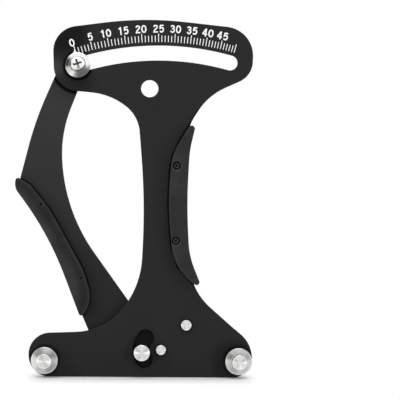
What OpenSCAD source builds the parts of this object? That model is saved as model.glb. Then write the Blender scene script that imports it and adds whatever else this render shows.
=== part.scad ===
// Spoke tension meter: a flat plate with a scale and two fixed posts, and a sprung lever behind it
// that carries the moving post and the pointer. Millimetres. The meter stands on its base edge:
// X to the right, Z up, and the scale faces -Y. X = 0 is midway between the two fixed posts.

/* [Scale and travel] */
// Distance from the pivot to the pointer's screw
scale_r = 171.5; // [140:0.1:206]
// Lean of the pointer to the left of upright at the zero mark, in degrees
zero_lean = 16.6; // [14:0.1:18]
// Turn of the lever from the zero mark to the end of the scale, in degrees
sweep = 29.8; // [20:0.1:31]
// Width of the pointer's slot
slot_w = 8.8; // [7.6:0.1:11]

/* [Plates] */
// Thickness of the main plate
plate_t = 3; // [2:0.1:4]
// Thickness of the lever
lever_t = 3; // [2:0.1:4]
// Space between the main plate and the lever
plate_gap = 1; // [0.8:0.1:2]
// Diameter of the hanging hole
hang_d = 10; // [6:0.5:12]
// Width of the stem at its waist
stem_w = 22; // [18:0.5:28]
// Height of the waist above the base edge
waist_z = 100; // [83:1:120]

/* [Foot and posts] */
// Distance between the two fixed posts
post_span = 111; // [90:1:134]
// Height of the fixed posts' axes above the base edge
post_z = 9.8; // [9:0.1:11]
// Height of the foot's wings
foot_h = 24.8; // [23:0.2:28]
// Plate beyond each fixed post
foot_end = 9.5; // [9:0.5:13]
// Diameter of a fixed post's barrel
barrel_d = 15.4; // [12:0.1:17]
// Length of a fixed post's barrel
barrel_h = 10; // [7:0.5:13]
// Diameter of the boss that bears on the spoke
boss_d = 8.5; // [7:0.5:10]
// Length of the boss
boss_h = 9; // [6:0.5:11]
// Diameter of the moving post
mover_d = 9.2; // [7.6:0.2:10]

/* [Pivot] */
// Distance from the middle of the foot to the pivot
pivot_x = 11.2; // [10.8:0.1:13]
// Height of the pivot above the base edge
pivot_z = 15.7; // [15.5:0.1:19]
// Height of the pivot above the moving post, with the lever at rest
mover_drop = 0.8; // [0:0.1:1.5]
// Diameter of the pivot pin
pivot_d = 5; // [4:0.1:5.4]

/* [Spring] */
// Distance from one spring stud to the other with the lever at rest
spring_len = 18.2; // [17:0.1:19]
// Outer diameter of the spring
spring_d = 7; // [6:0.5:8]
// Diameter of the spring's wire
wire_d = 1.2; // [0.9:0.1:1.3]
// Number of curls
curls = 6; // [3:1:6]

/* [Grips] */
// Thickness of one half of a grip
grip_t = 4.5; // [3:0.5:6]
// Diameter of a grip screw
grip_screw_d = 2.6; // [2:0.1:3.2]

/* [Pointer] */
// Diameter of the pointer's washer
pointer_d = 14.7; // [12.5:0.1:18]
// Thickness of the pointer's washer
pointer_t = 1.8; // [1.2:0.1:2.5]
// Diameter of the pointer's screw
pointer_screw_d = 4; // [3:0.1:5]

/* [Hidden] */
$fn = 96;
BIG_ARC = 360;            // facets shown on arcs of large radius
SLOT_PLAY = 1.5;          // clearance of the pointer's bush in the slot, which only frames its path
SCREW_OUT = 0.9;          // how far outside the slot's middle line the pointer's screw is at zero
MOVER_PLAY = 0.4;         // clearance of the moving post in its slot
RUN = 0.05;               // radial clearance of a running fit
SEAT = 0.02;              // radial clearance of a pressed or screwed fit
THROUGH = 0.2;            // radial clearance of a hole that a screw only passes through
PLAY = 0.1;               // end play beside a face that turns
CHAMFER = 0.4;            // chamfer on turned ends
GRAZE = 0.001;            // how far an arc crosses the line that it runs into
EDGE_SHARE = 0.99;        // the most of an edge that the fillets at its two ends may take up
OUTSIDE = 0.02;           // how far an arc's bounds lie outside its corner

BLACK = [0.16, 0.16, 0.16];
GRIP_BLACK = [0.2, 0.2, 0.2];
STEEL = [0.8, 0.8, 0.79];
NYLON = [0.9, 0.9, 0.86];
SPRING_STEEL = [0.62, 0.62, 0.63];

// Levels along Y, from the scale's side to the back
front_y = -plate_t / 2;
back_y = plate_t / 2;
lever_front_y = back_y + plate_gap;
lever_back_y = lever_front_y + lever_t;
post_end_y = front_y - barrel_h - boss_h;

// Places in the plane of the plates, as [x, z]
pivot = [pivot_x, pivot_z];
mover = [0, pivot_z - mover_drop];
crank = norm(pivot - mover);
half_span = post_span / 2;
left_post = [-half_span, post_z];
right_post = [half_span, post_z];
pointer = pivot + scale_r * clock(-zero_lean);
slot_reach = scale_r - SCREW_OUT;
slot_start = pivot + slot_reach * clock(-zero_lean);
slot_finish = pivot + slot_reach * clock(sweep - zero_lean);
hang_hole = pivot + [-7.3, slot_reach - 20.1];
anchor = pivot + [14.5, 14.3];
tail_stud = anchor - [0, spring_len];

// ---------- plane geometry ----------

// Unit vector at an angle from upright, clockwise as the scale is read
function clock(a) = [sin(a), cos(a)];
function spot(c) = [c[0], c[1]];
function unit(v) = v / norm(v);
function before(c, i) = spot(c[(i + len(c) - 1) % len(c)]) - spot(c[i]);
function after(c, i) = spot(c[(i + 1) % len(c)]) - spot(c[i]);
function half_angle(c, i) = acos(unit(before(c, i)) * unit(after(c, i))) / 2;
function bisector(c, i) = unit(unit(before(c, i)) + unit(after(c, i)));
// A corner of an outline drawn counterclockwise is convex where the walk turns left
function convex(c, i) = after(c, i)[0] * before(c, i)[1] - after(c, i)[1] * before(c, i)[0] > 0;
// Length of edge that a corner's fillet takes up, and the share of it that the edges have room for
function wanted(c, i) = c[i][2] / tan(half_angle(c, i));
function room(c, i) =
    let (n = len(c), own = wanted(c, i))
    min(
        1,
        EDGE_SHARE * norm(before(c, i)) / (own + wanted(c, (i + n - 1) % n)),
        EDGE_SHARE * norm(after(c, i)) / (own + wanted(c, (i + 1) % n))
    );
function reach(c, i) = wanted(c, i) * room(c, i);
function start_of(c, i) = spot(c[i]) + unit(before(c, i)) * reach(c, i);
function end_of(c, i) = spot(c[i]) + unit(after(c, i)) * reach(c, i);

// The same outline with its edges moved in by d, or out where d is negative
function inset(c, d) = [
    for (i = [0 : len(c) - 1])
        let (
            side = convex(c, i) ? 1 : -1,
            p = spot(c[i]) + bisector(c, i) * side * d / sin(half_angle(c, i))
        )
        [p[0], p[1], max(c[i][2] - side * d, 0.1)]
];

// The part of a corner's circle that lies between its chord and the corner. The circle is a hair
// larger than the fillet, and its bounds lie a little outside the corner, so that it crosses the
// outline's edges near their ends and doesn't just touch them.
module corner_segment(c, i) {
    r = c[i][2] * room(c, i) + GRAZE;
    over = 2 * sqrt(2 * r * GRAZE);
    v = spot(c[i]);
    b = bisector(c, i);
    h = half_angle(c, i);
    tips = [start_of(c, i), end_of(c, i)];
    outer = [
        for (t = tips)
            let (along = unit(t - v))
            t + along * over + (along * cos(h) - b) / sin(h) * OUTSIDE
    ];
    behind = (tips[0] + tips[1]) / 2 + b * min(1, 0.3 * r);
    intersection() {
        translate(v + b * (r - GRAZE) / sin(h)) circle(r, $fn = r > 60 ? BIG_ARC : 96);
        polygon([outer[0], v - b * OUTSIDE / sin(h), outer[1], behind]);
    }
}

// A closed outline with a true arc at every corner; a corner is [x, z, radius]
module outline(c) {
    ends = [0 : len(c) - 1];
    difference() {
        union() {
            polygon([for (i = ends) each [start_of(c, i), end_of(c, i)]]);
            for (i = ends) if (convex(c, i)) corner_segment(c, i);
        }
        for (i = ends) if (!convex(c, i)) corner_segment(c, i);
    }
}

// A slot along an arc about a centre, between two angles from upright
module arc_slot(centre, r, w, a0, a1) {
    far = 2 * r;
    translate(centre) {
        intersection() {
            difference() {
                circle(r + w / 2, $fn = BIG_ARC);
                circle(r - w / 2, $fn = BIG_ARC);
            }
            polygon([[0, 0], far * clock(a0), far * clock((a0 + a1) / 2), far * clock(a1)]);
        }
        for (a = [a0, a1]) translate(r * clock(a)) circle(d = w + 2 * GRAZE);
    }
}

module hole(at, d) {
    translate(at) circle(d = d);
}

// ---------- solids ----------

// A flat piece between two levels of Y
module slab(y0, y1) {
    translate([0, y1, 0]) rotate([90, 0, 0]) linear_extrude(y1 - y0) children();
}

// A round bar along Y
module bar(at, y0, y1, d) {
    translate([at[0], y1, at[1]]) rotate([90, 0, 0]) cylinder(h = y1 - y0, d = d);
}

// A turned piece: its profile is drawn as [radius, height], and the height runs from level y to the front
module turned(at, y) {
    translate([at[0], y, at[1]]) rotate([90, 0, 0]) rotate_extrude() children();
}

module washer(at, y0, y1, outer_d, inner_d) {
    difference() {
        bar(at, y0, y1, outer_d);
        bar(at, y0 - 1, y1 + 1, inner_d);
    }
}

// A cross recess in a screw head whose top is at level y, turned by lean
module cross_recess(at, y, size, depth, lean) {
    translate([at[0], y, at[1]]) rotate([0, lean, 0])
        for (turn = [0, 90]) rotate([0, turn, 0]) cube([size, 2 * depth, size / 4], center = true);
}

// A pan head: flat below, with a rounded rim
function pan_profile(d, h) = [
    [0, 0], [d / 2, 0], [d / 2, 0.45 * h], [0.46 * d, 0.72 * h], [0.38 * d, 0.92 * h], [0.26 * d, h], [0, h]
];

// ---------- main plate ----------

stem_left = pivot[0] + 1.4 - stem_w / 2;
stem_right = stem_left + stem_w;
foot_side = half_span + foot_end;

// A corner of the head, at an angle from upright and a distance outside the slot's centre line
function head_corner(a, out, r) =
    let (p = pivot + (slot_reach + out) * clock(a))
    [p[0], p[1], r];

plate_corners = [
    [-foot_side, 0, foot_h / 2 - 0.05],
    [foot_side, 0, 11.5],
    [right_post[0] + 7.3, post_z + 10.6, 18.6],
    [right_post[0] - 3.3, post_z + 19.3, 78],
    [stem_right + 5.4, foot_h + 24.8, 36],
    [stem_right, waist_z, 200],
    head_corner(6.8, -40, 23),
    head_corner(10.3, -21.3, 35.4),
    head_corner(18.1, -4.1, 12.5),
    head_corner(15.9, 21.4, 16.7),
    head_corner(-3.1, 21.1, 198),
    head_corner(-19, 24.5, 14.3),
    head_corner(-22.5, -8.1, 14.3),
    head_corner(-11.6, -20.3, 37.7),
    head_corner(-5.8, -34.9, 20.7),
    [stem_left, waist_z, 394],
    [stem_left - 2.3, foot_h + 27.3, 50],
    [stem_left - 23.1, foot_h + 1.5, 36.4],
    [-foot_side, foot_h, foot_h / 2 - 0.05],
];

// The pointer's slot has a centre of its own over the pivot, so its arc is a little tighter than an
// arc about the pivot. Its radius is midway between that arc's greatest and least distance from it.
slot_centre = pivot + [-1.6, 18];
slot_r = (norm(pivot + [0, slot_reach] - slot_centre) + norm(slot_finish - slot_centre)) / 2;
function slot_angle(p) = atan2(p[0] - slot_centre[0], p[1] - slot_centre[1]);

// The moving post's slot runs on past both ends of its travel, by these angles
MOVER_SLOT_BELOW = 26;
MOVER_SLOT_PAST = 12;
mover_slot_w = mover_d + 2 * MOVER_PLAY;
mover_angle = atan2(mover[0] - pivot[0], mover[1] - pivot[1]);
post_screw_d = 5;
grip_hole_d = grip_screw_d + 2 * THROUGH;

module main_plate() {
    color(BLACK) slab(front_y, back_y) difference() {
        outline(plate_corners);
        arc_slot(slot_centre, slot_r, slot_w, slot_angle(slot_start), slot_angle(slot_finish));
        arc_slot(
            pivot, crank, mover_slot_w,
            mover_angle - MOVER_SLOT_BELOW, mover_angle + sweep + MOVER_SLOT_PAST
        );
        hole(hang_hole, hang_d);
        hole(pivot, pivot_d + 2 * SEAT);
        hole(anchor, stud_shank_d + 2 * SEAT);
        for (at = [left_post, right_post]) hole(at, post_screw_d + 2 * THROUGH);
        for (at = frame_grip_screw_spots) hole(at, grip_hole_d);
    }
}

// ---------- posts ----------

POST_TAP_DEPTH = 9;

// The barrel stands on the plate, and its step is the shoulder that the spoke lies against
module fixed_post(at) {
    color(STEEL) difference() {
        turned(at, front_y) polygon([
            [0, 0],
            [barrel_d / 2, 0],
            [barrel_d / 2, barrel_h - CHAMFER],
            [barrel_d / 2 - CHAMFER, barrel_h],
            [boss_d / 2, barrel_h],
            [boss_d / 2, barrel_h + boss_h - CHAMFER],
            [boss_d / 2 - CHAMFER, barrel_h + boss_h],
            [0, barrel_h + boss_h],
        ]);
        bar(at, front_y - POST_TAP_DEPTH, front_y + 1, post_screw_d + 2 * SEAT);
    }
}

module fixed_post_left() fixed_post(left_post);
module fixed_post_right() fixed_post(right_post);

POST_HEAD_D = 9;
POST_HEAD_H = 2.8;
POST_SCREW_REACH = 7;

// A pan-head screw put in from the back: its head lies on level y
module post_screw(at, y, reach) {
    color(STEEL) difference() {
        union() {
            bar(at, y - reach, y, post_screw_d);
            translate([at[0], y, at[1]]) rotate([-90, 0, 0]) rotate_extrude()
                polygon(pan_profile(POST_HEAD_D, POST_HEAD_H));
        }
        cross_recess(at, y + POST_HEAD_H, 4.4, 1.6, 20);
    }
}

module fixed_post_screws() {
    for (at = [left_post, right_post]) post_screw(at, back_y, plate_t + POST_SCREW_REACH);
}

module moving_post() {
    length = lever_front_y - post_end_y;
    color(STEEL) difference() {
        turned(mover, lever_front_y) polygon([
            [0, 0],
            [mover_d / 2, 0],
            [mover_d / 2, length - CHAMFER],
            [mover_d / 2 - CHAMFER, length],
            [0, length],
        ]);
        bar(mover, lever_front_y - POST_TAP_DEPTH, lever_front_y + 1, post_screw_d + 2 * SEAT);
    }
}

module moving_post_screw() post_screw(mover, lever_back_y, lever_t + POST_SCREW_REACH);

// ---------- pivot ----------

pivot_head_d = pivot_d + 0.9;
PIN_PROUD = 2;
WASHER_T = 0.8;
CLIP_T = 0.7;
PIN_END = 1.2;
clip_y = lever_back_y + PLAY + WASHER_T;
groove_d = pivot_d - 1.2;

module pivot_pin() {
    tail = clip_y + CLIP_T;
    color(STEEL) turned(pivot, tail + PIN_END) polygon([
        [0, 0],
        [pivot_d / 2 - CHAMFER, 0],
        [pivot_d / 2, CHAMFER],
        [pivot_d / 2, PIN_END],
        [groove_d / 2, PIN_END],
        [groove_d / 2, PIN_END + CLIP_T],
        [pivot_d / 2, PIN_END + CLIP_T],
        [pivot_d / 2, PIN_END + tail - front_y],
        [pivot_head_d / 2, PIN_END + tail - front_y],
        [pivot_head_d / 2, PIN_END + tail - front_y + PIN_PROUD - CHAMFER],
        [pivot_head_d / 2 - CHAMFER, PIN_END + tail - front_y + PIN_PROUD],
        [0, PIN_END + tail - front_y + PIN_PROUD],
    ]);
}

SPACER_CLEAR = 0.6;       // from the spacer's edge to the moving post's slot

module pivot_spacer() {
    spacer_d = 2 * (crank - mover_slot_w / 2 - SPACER_CLEAR);
    color(NYLON) washer(pivot, back_y, lever_front_y - PLAY, spacer_d, pivot_d + 2 * RUN);
}

module pivot_rear_washer() {
    color(STEEL) washer(pivot, lever_back_y + PLAY, clip_y, 2 * pivot_d, pivot_d + 2 * RUN);
}

// An open ring that snaps into the pin's groove from below
module pivot_clip() {
    clip_d = 1.75 * pivot_d;
    mouth = 0.85 * groove_d;
    color(STEEL) slab(clip_y, clip_y + CLIP_T) difference() {
        hole(pivot, clip_d);
        hole(pivot, groove_d + 2 * SEAT);
        translate(pivot + [-mouth / 2, -clip_d]) square([mouth, clip_d]);
        for (side = [-1, 1]) hole(pivot + side * [0.33 * clip_d, 0.1 * clip_d], 0.12 * clip_d);
    }
}

// ---------- spring and its studs ----------

stud_shank_d = 4;
STUD_COLLAR_D = 6;
STUD_NECK_D = 3.6;
ANCHOR_HEAD_D = 6.2;
NECK_W = 2.2;
// Level of the spring's middle: clear of the lever by 1 mm
spring_y = lever_back_y + 1 + spring_d / 2;
// The studs end a little past the spring, so that the meter lies on them and not on the wire
stud_end_y = spring_y + spring_d / 2 + 0.7;

// The collar, neck and end of a stud behind level y, drawn from the end forwards
function stud_tail(y) =
    let (neck = stud_end_y - spring_y - NECK_W / 2)
    [
        [0, 0],
        [STUD_COLLAR_D / 2 - 2 * CHAMFER, 0],
        [STUD_COLLAR_D / 2, 2 * CHAMFER],
        [STUD_COLLAR_D / 2, neck],
        [STUD_NECK_D / 2, neck],
        [STUD_NECK_D / 2, neck + NECK_W],
        [STUD_COLLAR_D / 2, neck + NECK_W],
        [STUD_COLLAR_D / 2, stud_end_y - y],
        [stud_shank_d / 2, stud_end_y - y],
    ];

module spring_anchor_stud() {
    head = stud_end_y - front_y;
    color(STEEL) turned(anchor, stud_end_y) polygon(concat(stud_tail(back_y), [
        [stud_shank_d / 2, head],
        [ANCHOR_HEAD_D / 2, head],
        [ANCHOR_HEAD_D / 2, head + PIN_PROUD - CHAMFER],
        [ANCHOR_HEAD_D / 2 - CHAMFER, head + PIN_PROUD],
        [0, head + PIN_PROUD],
    ]));
}

module lever_spring_stud() {
    flush = stud_end_y - lever_front_y;
    color(STEEL) turned(tail_stud, stud_end_y)
        polygon(concat(stud_tail(lever_back_y), [[stud_shank_d / 2, flush], [0, flush]]));
}

RINGS_PER_CURL = 8;
WIRE_SIDES = 6;
HOOK_STEPS = 9;
HOOK_ARC = 200;           // degrees of wire round each stud
BEND_STEPS = 3;
coil_r = (spring_d - wire_d) / 2;
hook_r = STUD_NECK_D / 2 + wire_d / 2 + 0.25;
bend_r = 1.3;
HOOK_CLEAR = 0.3;         // space between the first curl and the stud's collar
// Half the length of the coiled stretch, which stops short of the studs' collars
coil_half = spring_len / 2 - STUD_COLLAR_D / 2 - wire_d / 2 - HOOK_CLEAR;

// The wire's middle line, about the point midway between the studs and standing along Z. The upper
// hook goes round its stud in the XZ plane, runs down, and bends into the first curl.
hook_end = spring_len / 2 * [0, 0, 1] + hook_r * [cos(HOOK_ARC), 0, sin(HOOK_ARC)];
hook_path = concat(
    [hook_end + wire_d * [-sin(HOOK_ARC), 0, cos(HOOK_ARC)]],
    [
        for (k = [0 : HOOK_STEPS])
            let (a = HOOK_ARC * (1 - k / HOOK_STEPS))
            [hook_r * cos(a), 0, spring_len / 2 + hook_r * sin(a)]
    ],
    [
        for (k = [0 : BEND_STEPS - 1])
            let (a = 90 * k / BEND_STEPS)
            [hook_r, bend_r * (1 - cos(a)), coil_half + bend_r * (1 - sin(a))]
    ]
);

// Turning the upper hook half round about X gives the lower one, at the other end of the coil
function turned_over(p) = [p[0], -p[1], -p[2]];
joint_angle = asin(bend_r / coil_r);
coil_path = [
    for (k = [0 : curls * RINGS_PER_CURL])
        let (s = k / (curls * RINGS_PER_CURL), a = joint_angle + (360 * curls - 2 * joint_angle) * s)
        [coil_r * cos(a), coil_r * sin(a), coil_half * (1 - 2 * s)]
];
wire_path = concat(
    hook_path, coil_path, [for (k = [len(hook_path) - 1 : -1 : 0]) turned_over(hook_path[k])]
);

// A tube of even thickness along a path: each ring is carried on from the one before it
function heading(p, i) = unit(p[min(i + 1, len(p) - 1)] - p[max(i - 1, 0)]);
function square_to(v, t) = unit(v - (v * t) * t);
function carried(p, i, v) =
    i == len(p) ? [] : let (n = square_to(v, heading(p, i))) concat([n], carried(p, i + 1, n));

module tube(path, d) {
    first = square_to([0, 1, 0], heading(path, 0));
    sides = carried(path, 0, first);
    last = len(path) - 1;
    points = [
        for (i = [0 : last])
            let (t = heading(path, i), u = sides[i], w = cross(t, u))
            for (k = [0 : WIRE_SIDES - 1])
                let (a = 360 * k / WIRE_SIDES)
                path[i] + (cos(a) * u + sin(a) * w) * d / 2
    ];
    around = [for (k = [0 : WIRE_SIDES - 1]) [k, (k + 1) % WIRE_SIDES]];
    walls = [
        for (i = [0 : last - 1]) for (e = around)
            let (a = i * WIRE_SIDES, b = a + WIRE_SIDES)
            each [[a + e[0], b + e[0], b + e[1]], [a + e[0], b + e[1], a + e[1]]]
    ];
    near_end = [for (k = [1 : WIRE_SIDES - 2]) [0, k, k + 1]];
    far = last * WIRE_SIDES;
    far_end = [for (k = [1 : WIRE_SIDES - 2]) [far, far + k + 1, far + k]];
    polyhedron(points, concat(walls, near_end, far_end));
}

// Least distance between two stretches of a path that are more than a few rings apart, less the wire
function self_gap(p, d) =
    min([for (i = [0 : len(p) - 1]) for (j = [i + 5 : 1 : len(p) - 1]) norm(p[i] - p[j])]) - d;

module tension_spring() {
    echo(spring_least_gap = self_gap(wire_path, wire_d));
    middle = (anchor + tail_stud) / 2;
    color(SPRING_STEEL) translate([middle[0], spring_y, middle[1]]) tube(wire_path, wire_d);
}

// ---------- lever ----------

// Outer edge: the elbow at the top of the grip, and the two corners below it
elbow = pivot + [-83.2, 93];
lever_side = pivot + [-66.2, 70.1];
lever_heel = pivot + [-49.7, 29.2];
TAIL_R = 4;

lever_corners = [
    [pivot[0] - 29.2, pivot_z - 12.3, 12],
    [pivot[0] - 1.2, pivot_z - 12.3, 8],
    [tail_stud[0] + TAIL_R, tail_stud[1] - TAIL_R + 0.4, TAIL_R],
    [tail_stud[0] + TAIL_R, tail_stud[1] + TAIL_R + 0.7, TAIL_R],
    [pivot[0] + 7.8, pivot_z + 9.8, 9],
    [pivot[0] - 9, pivot_z + 14.4, 27.5],
    [elbow[0] + 27.4, elbow[1] - 13.6, 102],
    [slot_start[0] - 9.8, slot_start[1] - 38.8, 72],
    [slot_start[0], slot_start[1] - 13.8, 20],
    [slot_start[0] + 10, slot_start[1] + 4, 8],
    [slot_start[0] - 5.6, slot_start[1] + 11.6, 8],
    [(elbow[0] + slot_start[0]) / 2 - 7.3, (elbow[1] + slot_start[1]) / 2 + 3.9, 202],
    [elbow[0], elbow[1], 11],
    [lever_side[0], lever_side[1], 181],
    [lever_heel[0], lever_heel[1], 61],
    [lever_heel[0] + 8.3, lever_heel[1] - 19.4, 20],
];

module lever_plate() {
    color(BLACK) slab(lever_front_y, lever_back_y) difference() {
        outline(lever_corners);
        hole(pivot, pivot_d + 2 * RUN);
        hole(mover, post_screw_d + 2 * THROUGH);
        hole(tail_stud, stud_shank_d + 2 * SEAT);
        hole(pointer, pointer_screw_d + 2 * THROUGH);
        for (at = lever_grip_screw_spots) hole(at, grip_hole_d);
    }
}

// ---------- pointer ----------

bush_d = slot_w - 2 * SLOT_PLAY;
// The bush stands this far past the main plate, so that the pointer's washer never clamps it
bush_end_y = front_y - 2 * PLAY;
SLIDE_INSIDE = 0.7;       // how far the nylon washer's edge lies inside the pointer's
POINTER_HEAD_D = 8.4;
POINTER_HEAD_H = 3;
TIP = 2.5;
TIP_W = 3.2;
TIP_LEAN = 12.5;          // lean of the tip to the left, so that it meets the zero mark
OFF_CENTRE = 0.7;         // the washer's disc is centred this far inside the screw, towards the pivot

module pointer_bush() {
    color(STEEL) washer(pointer, bush_end_y, lever_front_y, bush_d, pointer_screw_d + 2 * SEAT);
}

module pointer_slide_washer() {
    slide_d = pointer_d - 2 * SLIDE_INSIDE;
    color(NYLON) washer(pointer, back_y + 2 * PLAY, lever_front_y, slide_d, bush_d + 2 * RUN);
}

// A turned disc with a shallow step and a tip that points at the scale. The screw's hole is off its
// centre, so that the zero is set by turning it before the screw is tightened.
module pointer_washer() {
    r = pointer_d / 2;
    step = 0.3;
    disc = pointer - OFF_CENTRE * clock(-zero_lean);
    color(STEEL) difference() {
        union() {
            turned(disc, bush_end_y) polygon([
                [0, 0],
                [r, 0],
                [r, pointer_t - step - CHAMFER],
                [r - CHAMFER, pointer_t - step],
                [0.74 * r, pointer_t - step],
                [0.74 * r - step, pointer_t],
                [0, pointer_t],
            ]);
            slab(bush_end_y - pointer_t / 2, bush_end_y) translate(disc) rotate(TIP_LEAN) polygon([
                [-TIP_W / 2, r - 0.3],
                [TIP_W / 2, r - 0.3],
                [TIP_W / 7, r + TIP / 3],
                [0, r + TIP],
                [-TIP_W / 7, r + TIP / 3],
            ]);
        }
        bar(pointer, bush_end_y - pointer_t - 1, bush_end_y + 1, pointer_screw_d + 2 * SEAT);
    }
}

pointer_nut_y = lever_back_y + WASHER_T;
NUT_H = 3.2;
COLLAR_H = 1.6;

module pointer_screw() {
    seat_y = bush_end_y - pointer_t;
    tail_y = pointer_nut_y + NUT_H + COLLAR_H + 1;
    color(STEEL) difference() {
        union() {
            bar(pointer, seat_y, tail_y, pointer_screw_d);
            turned(pointer, seat_y) polygon(pan_profile(POINTER_HEAD_D, POINTER_HEAD_H));
        }
        cross_recess(pointer, seat_y - POINTER_HEAD_H, 5, 1.8, -20);
    }
}

module pointer_rear_washer() {
    color(STEEL) washer(
        pointer, lever_back_y, pointer_nut_y, 2.5 * pointer_screw_d, pointer_screw_d + 2 * THROUGH
    );
}

// A locking nut: six flats, and a round collar that holds the nylon ring
module pointer_nut() {
    across_flats = 1.75 * pointer_screw_d;
    hex_d = across_flats / cos(30);
    color(STEEL) difference() {
        union() {
            translate([pointer[0], pointer_nut_y + NUT_H, pointer[1]]) rotate([90, 0, 0])
                cylinder(h = NUT_H, d = hex_d, $fn = 6);
            bar(pointer, pointer_nut_y + NUT_H - 0.1, pointer_nut_y + NUT_H + COLLAR_H, across_flats - 0.6);
        }
        bar(pointer, pointer_nut_y - 1, pointer_nut_y + NUT_H + COLLAR_H + 1, pointer_screw_d + 2 * SEAT);
    }
}

// ---------- grips ----------

// The frame's grip follows the right of the stem
frame_grip_corners = [
    [stem_right + 11.5, waist_z - 49.8, 1.7],
    [stem_right + 3.5, waist_z - 30.1, 46],
    [stem_right + 1.9, waist_z, 290],
    [stem_right + 3.4, waist_z + 30.5, 61],
    [stem_right + 8.9, waist_z + 53.9, 1.9],
    [stem_right - 6.7, waist_z + 28.5, 35],
    [stem_right - 9, waist_z, 165],
    [stem_right - 5.4, waist_z - 37.8, 31],
];
frame_grip_screw_spots = [
    [stem_right - 4, waist_z + 21.8],
    [stem_right - 4.3, waist_z - 21.4],
];

// The lever's grip follows its outer edge, from the elbow down
lever_grip_corners = [
    [elbow[0] - 0.8, elbow[1] + 6.6, 1.6],
    [elbow[0] - 1.7, elbow[1] - 0.2, 8.5],
    [lever_side[0] + 0.5, lever_side[1] - 2, 188],
    [lever_heel[0] + 3.3, lever_heel[1] - 11.2, 1.6],
    [lever_heel[0] + 10.5, lever_heel[1] - 2, 17],
    [lever_heel[0] + 4.6, lever_heel[1] + 16.8, 40],
    [lever_side[0] + 1.7, lever_side[1] + 10.7, 96],
    [elbow[0] + 7.2, elbow[1] + 1.8, 8.4],
];
lever_grip_screw_spots = [
    [lever_side[0] - 3.4, lever_side[1] + 13.3],
    [lever_heel[0] + 3.4, lever_heel[1] + 11.9],
];

grip_head_d = 1.4 * grip_screw_d;
SINK_PLAY = 0.45;         // clearance round a grip screw's head
grip_sink_d = grip_head_d + 2 * SINK_PLAY;
GRIP_HEAD_H = 1.4;
HEAD_SUNK = 0.8;
LIP_GAP = 0.2;
TIP_DEPTH = 1;            // depth of a grip screw's end below the face of the half that it bites in
FACE_SKIN = 0.6;          // what is left of that half over the screw's bore
VENT_D = 1.3;             // the small hole through it

// One half of a grip lies on a face of its plate, and its lip wraps half the plate's edge. outer_y is
// the half's outside, face_y is where it lies on the plate, and middle_y is where the halves meet.
module grip_half(corners, plate, outer_y, face_y, middle_y) {
    slab(min(outer_y, face_y), max(outer_y, face_y)) outline(corners);
    slab(min(face_y, middle_y), max(face_y, middle_y)) difference() {
        outline(corners);
        outline(inset(plate, -LIP_GAP));
    }
}

// The half under the screws' heads has counterbores. The other has the bores that the screws bite in,
// which end under its face in a small hole.
module head_half(corners, plate, outer_y, face_y, middle_y, spots) {
    out = sign(outer_y - face_y);
    sink = outer_y - out * (GRIP_HEAD_H + HEAD_SUNK);
    color(GRIP_BLACK) difference() {
        grip_half(corners, plate, outer_y, face_y, middle_y);
        for (at = spots) {
            bar(at, min(outer_y, face_y) - 1, max(outer_y, face_y) + 1, grip_hole_d);
            bar(at, min(sink, outer_y + out), max(sink, outer_y + out), grip_sink_d);
        }
    }
}

module thread_half(corners, plate, outer_y, face_y, middle_y, spots) {
    out = sign(outer_y - face_y);
    bore_end = outer_y - out * FACE_SKIN;
    color(GRIP_BLACK) difference() {
        grip_half(corners, plate, outer_y, face_y, middle_y);
        for (at = spots) {
            bar(at, min(bore_end, face_y - out), max(bore_end, face_y - out), grip_screw_d + 2 * SEAT);
            bar(at, min(outer_y, face_y) - 1, max(outer_y, face_y) + 1, VENT_D);
        }
    }
}

// Screws through a whole grip, from the half at head_outer_y into the half at far_outer_y
module grip_screws(spots, head_outer_y, far_outer_y) {
    side = sign(head_outer_y - far_outer_y);
    head_top = head_outer_y - side * HEAD_SUNK;
    head_seat = head_top - side * GRIP_HEAD_H;
    far_end = far_outer_y + side * TIP_DEPTH;
    color(BLACK) for (at = spots) difference() {
        union() {
            bar(at, min(head_seat, far_end), max(head_seat, far_end), grip_screw_d);
            bar(at, min(head_seat, head_top), max(head_seat, head_top), grip_head_d);
        }
        cross_recess(at, head_top, 2.4, 0.7, 35);
    }
}

module frame_grip_front()
    head_half(frame_grip_corners, plate_corners, front_y - grip_t, front_y, 0, frame_grip_screw_spots);
module frame_grip_rear()
    thread_half(frame_grip_corners, plate_corners, back_y + grip_t, back_y, 0, frame_grip_screw_spots);
module frame_grip_screws()
    grip_screws(frame_grip_screw_spots, front_y - grip_t, back_y + grip_t);

lever_mid_y = (lever_front_y + lever_back_y) / 2;
module lever_grip_front()
    thread_half(
        lever_grip_corners, lever_corners, lever_front_y - grip_t, lever_front_y, lever_mid_y,
        lever_grip_screw_spots
    );
module lever_grip_rear()
    head_half(
        lever_grip_corners, lever_corners, lever_back_y + grip_t, lever_back_y, lever_mid_y,
        lever_grip_screw_spots
    );
module lever_grip_screws()
    grip_screws(lever_grip_screw_spots, lever_back_y + grip_t, lever_front_y - grip_t);

// ---------- what is drawn ----------

main_plate();
fixed_post_left();
fixed_post_right();
fixed_post_screws();
pivot_pin();
pivot_spacer();
pivot_rear_washer();
pivot_clip();
spring_anchor_stud();
tension_spring();
frame_grip_front();
frame_grip_rear();
frame_grip_screws();
lever_plate();
moving_post();
moving_post_screw();
lever_spring_stud();
pointer_bush();
pointer_slide_washer();
pointer_washer();
pointer_screw();
pointer_rear_washer();
pointer_nut();
lever_grip_front();
lever_grip_rear();
lever_grip_screws();
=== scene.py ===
import math

import bmesh
import bpy
from mathutils import Matrix, Vector


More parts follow.
